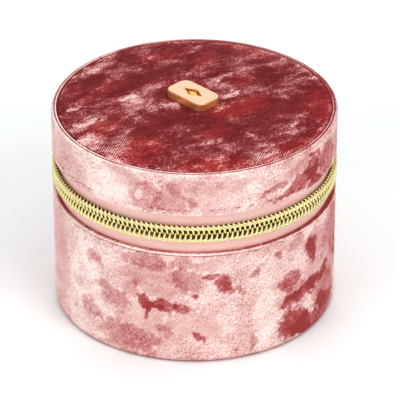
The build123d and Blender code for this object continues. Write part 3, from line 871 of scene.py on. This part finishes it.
def lid_velvet():
    """The lid's sleeve, with a welt where it turns over the rim and meets the padded top."""
    crease, welt = CASE_R - 0.95, CASE_R - 1.45
    stitches = LID_LOW + 2.4
    under_top, over_hem = TOP_FLAT + 0.03, LID_LOW + 0.75

    def step(r, z):
        if z > LID_TOP - 1.4:
            return 0.15
        if r < BOARD_R + 0.2 and z > LID_LOW + 0.7:
            return 3.0
        return 0.2 if abs(z - stitches) < 0.6 else 0.45

    def relief(theta, r, z):
        outside = np.clip((r - CASE_R + 0.6) / 0.4, 0, 1)
        wander = 0.10 * rough(on_wall(theta), 8, 2, 1.7)
        on_top = z > LID_TOP - 0.5
        rim = on_top * (0.16 * bump_at(r, welt, 0.26) - 0.36 * bump_at(r, crease + wander, 0.15))
        hemmed = 0.08 * bump_at(z, LID_LOW + 0.4, 0.4) - 0.12 * bump_at(z, LID_LOW + 1.3, 0.25)
        soft = soft_relief(around(theta, r, z), (5.0, 9.3))
        return outside * (soft + hemmed + seam_relief(theta)) + rim

    made = spin(
        "lid_velvet",
        [
            (TAPE_OUT + SKIN, LID_LOW, 0.2),
            (CASE_R, LID_LOW, 0.7),
            (CASE_R, LID_TOP, 0.95),
            (TOP_DISC_R + 0.2, LID_TOP, 0.35),
            (TOP_DISC_R + 0.2, under_top, 0.1),
            (BOARD_R + SKIN, under_top, 0.1),
            (BOARD_R + SKIN, over_hem, 0.1),
            (TAPE_OUT + SKIN, over_hem, 0.1),
        ],
        step=step,
        relief=relief,
    )
    theta, r, z = polar(made)
    slack = slack_and_light_side(theta)
    bright = 0.42 - 0.3 * slack
    # Painted highlight on the welt, and painted shade in the crease beside it and on the cloth under the top
    # disc's edge.
    rim = bright * bump_at(r, welt, 0.22) - 1.1 * bump_at(r, crease, 0.18) - 0.6 * (r < TOP_DISC_R + 0.25)
    # Painted shade over the top of the wall on the slack side.
    rim = rim * (z > LID_TOP - 0.6) - 0.4 * slack * np.clip((z - LID_TOP + 1.5) / 0.9, 0, 1)
    # Painted highlight on the rounded corner of the rim.
    corner = 0.22 * bump_at(np.hypot(r - CASE_R + 0.4, z - LID_TOP + 0.4), 0, 0.5)
    pricks = np.clip(rough(on_wall(theta), 1.7, 2, 17.0) + 0.1, 0, 1)
    # Painted highlight along the rolled hem at the bottom edge; the darker dots follow the stitch line.
    hem = 0.12 * bump_at(z, LID_LOW + 0.3, 0.4) - 0.75 * pricks * bump_at(z, stitches, 0.25)
    finish_sleeve(made, "lid", rim + corner + hem)


def lid_pad():
    """The padded velvet disc let into the rim, dimpled where the plaque is pulled down on it."""
    edge_r, edge_z, edge_round = TOP_DISC_R + 0.15, LID_TOP - 0.05, 0.65
    middle_z = CROWN + 0.1
    level_r = 16                     # the crown is level as far out as this
    spokes = np.linspace(0, 2 * math.pi, 420, endpoint=False)
    rings = np.concatenate([np.linspace(0.35, 46.4, 106), np.linspace(46.7, edge_r, 8)])
    angle, r = np.meshgrid(spokes, rings, indexing="ij")
    plan = around(angle, r, 0 * r)
    rise = (middle_z - edge_z) * (1 - np.clip((r - level_r) / (edge_r - level_r), 0, 1) ** 2)
    out, drop = rounding(r, edge_r, edge_round)
    away = badge_distance(plan)
    pulled = -0.16 * np.exp(-np.maximum(away, 0) / 1.6)
    bearing = np.arctan2(plan[..., 1] - BADGE_MIDDLE[1], plan[..., 0] - BADGE_MIDDLE[0])
    puckers = 0.07 * np.sin(bearing * 9 + 2 * np.sin(bearing * 2)) * np.exp(-np.abs(away - 3) / 3.5)
    soft = 0.13 * rough(plan, 12, 3, 2.0) + 0.04 * rough(plan, 3, 2, 8.0)
    z = edge_z + rise - drop + (soft + puckers) * (1 - out) + pulled
    z = np.where(away < 0.2, np.minimum(z, CROWN - SKIN), z)
    made = disc("lid_top_pad", plan, z, TOP_FLAT + SKIN)
    at = vertices(made)
    theta, r, _ = polar(made)
    slack = slack_and_light_side(theta)
    # Painted highlight just inside the pad's rounded edge, and painted shade in the groove at the edge and
    # round the plaque.
    lit = (0.12 + 0.1 * slack) * bump_at(r, edge_r - 1, 0.5 + 0.5 * slack)
    sunk = (0.4 - 0.3 * slack) * bump_at(r, edge_r, 0.5) + 0.2 * bump_at(badge_distance(at), 0, 0.9)
    crushed, cover = marks(TOP_MARKS, at[:, 0], at[:, 1], at)
    warm, _ = marks(TOP_WARM, at[:, 0], at[:, 1], at)
    lay(made, lit - sunk + crushed, cover, np.clip(warm, 0, 1))
    dress(made, "velvet_top", "lid_top_velvet", "lid_top_foam")
    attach(made, "lid")


# ---- zip -------------------------------------------------------
PITCH = 1.79                     # from one turn of a coil to the next
SEAM_Z = ZIP_Z - 0.2             # the coils hang a little low on their tapes
COIL_REACH = COIL_H + 0.15       # half width of the zip's chain
FILAMENT = 0.42                  # radius of the coils' filament
ZIP_START = math.radians(BACK + COIL_GAP_DEG)
ZIP_RUN = math.radians(360 - 2 * COIL_GAP_DEG)
ZIP_R = TAPE_OUT + COIL_DEEP / 2
TURNS = int(ZIP_RUN * ZIP_R / PITCH)


def on_zip(side, along, from_line, off_tape):
    """Points on the wall: along the zip, away from the line where its halves meet, and out from the tape.

    The upper half, side 1, starts half a pitch later than the lower, side -1, so that their turns alternate.
    """
    start = FILAMENT + (PITCH / 2 if side > 0 else 0.0)
    angle = ZIP_START + (start + along) / ZIP_R
    return around(angle, TAPE_OUT + off_tape, SEAM_Z + side * from_line)


def swung(value, power):
    return np.sign(value) * np.abs(value) ** power


def zip_coil(half, side, body):
    """One wound filament, flattened, whose heads reach past the line between those of the other half."""
    steps = 22
    turn = np.arange(TURNS * steps + 1) / steps
    phase = 2 * math.pi * turn
    head, back = -0.05, COIL_REACH - FILAMENT
    low, high = FILAMENT + 0.02, COIL_DEEP - FILAMENT - 0.22
    from_line = (head + back) / 2 + (back - head) / 2 * swung(np.cos(phase), 0.75)
    off_tape = (low + high) / 2 + (high - low) / 2 * swung(np.sin(phase), 0.85)
    path = on_zip(side, PITCH * turn * (TURNS - 1) / TURNS, from_line, off_tape)
    made = tube(f"zip_{half}_teeth", path, FILAMENT, 8)
    _, r, z = polar(made)
    # Height out from the tape, less a dip along the seam where the heads meet; the material turns low values
    # into painted shade.
    store(made, "height", (r - TAPE_OUT) / COIL_DEEP - 0.2 * bump_at(z, SEAM_Z, 0.7))
    dress(made, "gold_coil", f"zip_{half}_coil")
    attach(made, body)


def zip_binding_and_shadow(half, side, body):
    """Dark strip on the tape under the coil: binding yarn, coloured dark as painted shadow seen between the
    coil's turns.
    """
    low, high = sorted((SEAM_Z + side * 0.03, SEAM_Z + side * (COIL_REACH - 1.0)))
    under, over = TAPE_OUT - 0.03, TAPE_OUT + 0.16
    corners = [(under, low, 0.02), (over, low, 0.05), (over, high, 0.05), (under, high, 0.02)]
    made = spin(f"zip_{half}_binding_and_shadow", corners, step=0.5, across=300, gap=COIL_GAP_DEG + 2.6)
    dress(made, "zip_tape", f"zip_{half}_coil", look="cord_and_shadow")
    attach(made, body)


def zip_thread(half, side, body):
    """Two rows of sewing thread that ride over each turn of the coil and dip between them."""
    steps, thread_r = 10, 0.3
    turn = np.arange((TURNS - 1) * steps + 1) / steps
    rows = []
    for row, from_line in enumerate((2.0, 2.6)):
        wave = 2 * math.pi * (turn + 0.25 * row)
        dip = 0.26 * (0.5 - 0.5 * np.cos(wave))
        path = on_zip(side, PITCH * turn, from_line + 0.16 * np.sin(wave), THREAD_OUT - TAPE_OUT - 0.5 - dip)
        rows.append(tube(f"thread_{row}", path, thread_r, 6))
    made = joined(f"zip_{half}_thread", rows)
    dress(made, "gold_thread", f"zip_{half}_stitching")
    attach(made, body)


def zip_band(half, side, body):
    """The woven tape, from one side of the hinge round to the other."""
    (_, _, low), (_, _, high) = box(f"zip_{half}_tape")

    def relief(theta, r, z):
        return (r > TAPE_OUT - TAPE_T / 2) * (0.04 * rough(around(theta, r, z), 6, 2, side) - 0.05)

    corners = slab(TAPE_OUT - TAPE_T, low, TAPE_OUT, high, 0.2)
    made = spin(f"zip_{half}_band", corners, step=0.8, across=360, gap=TAPE_GAP_DEG, relief=relief)
    dress(made, "zip_tape", f"zip_{half}_tape")
    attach(made, body)


# ---- soft hinge ------------------------------------------------
def hinge_sheet(name, node, slot, thick):
    """One layer of the panel at the back that bends between the base and the lid."""
    (_, _, low), (half, _, high) = box(node)
    spread = math.radians(HINGE_DEG)
    outer = half / math.sin(spread)
    crease_pitch = 3.0

    def relief(theta, r, z):
        creases = 0.10 * np.cos((z - ZIP_Z) * 2 * math.pi / crease_pitch) * bump_at(z, ZIP_Z, 5)
        return (r > outer - thick / 2) * (0.04 * rough(around(theta, r, z), 4, 3, 4.0) + creases - 0.1)

    outline = rounded(slab(outer - thick, low, outer, high, 0.1), lambda r, z: 0.45)
    angles = np.linspace(math.radians(BACK) - spread, math.radians(BACK) + spread, 91)
    made = revolve(name, outline, angles, relief, outer, low)
    if slot == "velvet_side":
        even = 0 * polar(made)[1]
        lay(made, even - 0.1, even, even)
    dress(made, slot, node)
    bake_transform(made)


# ---- inside ----------------------------------------------------
def lining_tube(body, corners, face_r, top_z, seed):
    """A lining round a wall, wavy and seamed where it is seen: within radius face_r, and above top_z.
    """

    def relief(theta, r, z):
        waves = 0.03 * rough(around(theta, r, z), 8, 3, seed)
        return ((r < face_r) | (z > top_z)) * (waves - 0.12 * bump_at(back_seam(theta), 0, 0.4))

    made = spin(f"{body}_lining", corners, step=0.7, across=480, relief=relief)
    dress(made, "lining", f"{body}_liner_fabric")
    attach(made, body)


def base_lining():
    """Lining up the inner wall, over the collar and down its outside."""
    inner, top = LINER_OUT - 1.4, LINER_TOP + 0.1
    over_card = CARD_TOP + SKIN
    corners = [
        (inner, LINER_LOW, 0.05),
        (inner + 0.3, LINER_LOW, 0.05),
        (inner + 0.3, over_card, 0.05),
        (CARD_OUT + SKIN, over_card, 0.05),
        (CARD_OUT + SKIN, BASE_TOP, 0.05),
        (LINER_OUT, BASE_TOP, 0.05),
        (LINER_OUT, top, 0.6),
        (inner, top, 0.6),
    ]
    lining_tube("base", corners, inner + 0.15, BASE_TOP + 0.5, 6.0)


def lid_lining():
    """Lining down the lid's inner wall and out under its edge."""
    inner, low, cloth_t = FRAME_OUT + 0.05, LID_LINING_LOW, 0.28
    corners = [
        (inner, low, 0.3),
        (LID_LINING_OUT, low, 0.1),
        (LID_LINING_OUT, low + cloth_t, 0.05),
        (inner + cloth_t, low + cloth_t, 0.05),
        (inner + cloth_t, LID_LINING_TOP, 0.05),
        (inner, LID_LINING_TOP, 0.05),
    ]
    lining_tube("lid", corners, inner + 0.15, LID_TOP, 2.5)


def floor_pad():
    """The padded disc on the base's floor, crowned and rounded at its edge."""
    edge_z, middle_z, edge_round = PAD_TOP - 0.1, PAD_TOP + 0.5, 1.1
    spokes = np.linspace(0, 2 * math.pi, 360, endpoint=False)
    edge_rings = PAD_R - edge_round * (1 - np.linspace(0.15, 1, 7))
    rings = np.concatenate([np.linspace(0.5, PAD_R - edge_round, 60), edge_rings])
    angle, r = np.meshgrid(spokes, rings, indexing="ij")
    plan = around(angle, r, 0 * r)
    out, drop = rounding(r, PAD_R, edge_round)
    soft = 0.05 * rough(plan, 9, 3, 1.0)
    z = edge_z + (middle_z - edge_z) * (1 - (r / PAD_R) ** 4) - drop + soft * (1 - out)
    made = disc("floor_pad", plan, z, PAD_CARD_TOP)
    dress(made, "lining", "base_pad_fabric", "base_pad_foam")
    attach(made, "base")


def mirror_ring():
    """Lined ring round the mirror, softly rounded at its inner edge, with a line of stitches."""
    inner, top = MIRROR_R - 2.0, FRAME_TOP - 0.02
    stitch_count = 180

    def relief(theta, r, z):
        stitched = (r < FRAME_OUT - 0.5) & (z < FRAME_LOW + 0.3)
        waves = 0.5 - 0.5 * np.cos(theta * stitch_count)
        return stitched * (-0.16 * bump_at(r, inner + 1.6, 0.28) * (0.4 + 0.6 * waves))

    low, outer = FRAME_LOW, FRAME_OUT
    corners = [(inner, low, 0.45), (outer, low, 0.1), (outer, top, 0.05), (inner, top, 0.2)]
    made = spin("mirror_ring", corners, step=0.35, across=540, relief=relief)
    dress(made, "lining", "mirror_frame")
    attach(made, "lid")


# ---- everything ------------------------------------------------
for item in frame["record"]["subparts"]:
    node = frame["nodes"][item["node"]]
    node.data.materials.clear()
    node.data.materials.append(MATERIALS[item["material_slot"]])

base_velvet()
lid_velvet()
lid_pad()
for zip_half in (("lower", -1, "base"), ("upper", 1, "lid")):
    zip_coil(*zip_half)
    zip_binding_and_shadow(*zip_half)
    zip_thread(*zip_half)
    zip_band(*zip_half)
hinge_sheet("hinge_panel", "hinge_velvet", "velvet_side", 0.68)
hinge_sheet("hinge_inside", "hinge_lining", "lining", 0.28)
base_lining()
lid_lining()
floor_pad()
mirror_ring()


# ---- floor, light and camera -----------------------------------
def stage_floor():
    paint = Paint("studio_floor", Roughness=0.9)
    clouds = paint.noise(paint.solid(), 400, 2)
    paint.link(paint.ramp(clouds, (0.3, 250, 254, 254), (0.7, 251, 255, 255)), "Base Color")
    size = 3000
    points = [(-size, -size, 0), (size, -size, 0), (size, size, 0), (-size, size, 0)]
    made = mesh_object("studio_floor", points, [[0, 1, 2, 3]], smooth=False)
    made.data.materials.append(paint.material)


def facing_case(name, data, azimuth, elevation, distance):
    """A light or camera that many metres from the case's middle, turned to it; azimuth 0 is the front."""
    made = bpy.data.objects.new(name, data)
    bpy.context.scene.collection.objects.link(made)
    a, e = math.radians(azimuth), math.radians(elevation)
    back = Vector((math.sin(a) * math.cos(e), -math.cos(a) * math.cos(e), math.sin(e)))
    made.location = Vector((0, 0, LID_TOP / 2 * MM)) + back * distance
    made.rotation_mode = "QUATERNION"
    made.rotation_quaternion = back.to_track_quat("Z", "Y")
    return made


def softbox(name, azimuth, elevation, size, power):
    data = bpy.data.lights.new(name, "AREA")
    data.shape, data.size, data.energy = "DISK", size, power
    facing_case(name, data, azimuth, elevation, distance=1.2)


def camera(azimuth, elevation, distance, lens, shift):
    data = bpy.data.cameras.new("camera")
    data.lens, data.sensor_width = lens, 36.0
    data.shift_x, data.shift_y = shift
    data.clip_start, data.clip_end = 0.05, 20.0
    bpy.context.scene.camera = facing_case("camera", data, azimuth, elevation, distance)


VIEW = -44.0                     # azimuth of the camera, from which the lights are set out
stage_floor()
softbox("key", VIEW + 38, 42, 0.6, 4.0)
softbox("fill", VIEW - 42, 28, 0.6, 2.5)
softbox("overhead", VIEW + 20, 82, 0.9, 3.0)
softbox("back", VIEW + 180, 31, 0.8, 1.7)
world = bpy.data.worlds.new("studio")
world.use_nodes = True
background = world.node_tree.nodes["Background"]
background.inputs["Color"].default_value = (1, 1, 1, 1)
background.inputs["Strength"].default_value = 0.62
bpy.context.scene.world = world
bpy.context.scene.view_settings.view_transform = "Standard"
camera(VIEW, 30.24, 1.1474, lens=290.85, shift=(0.01375, -0.00655))
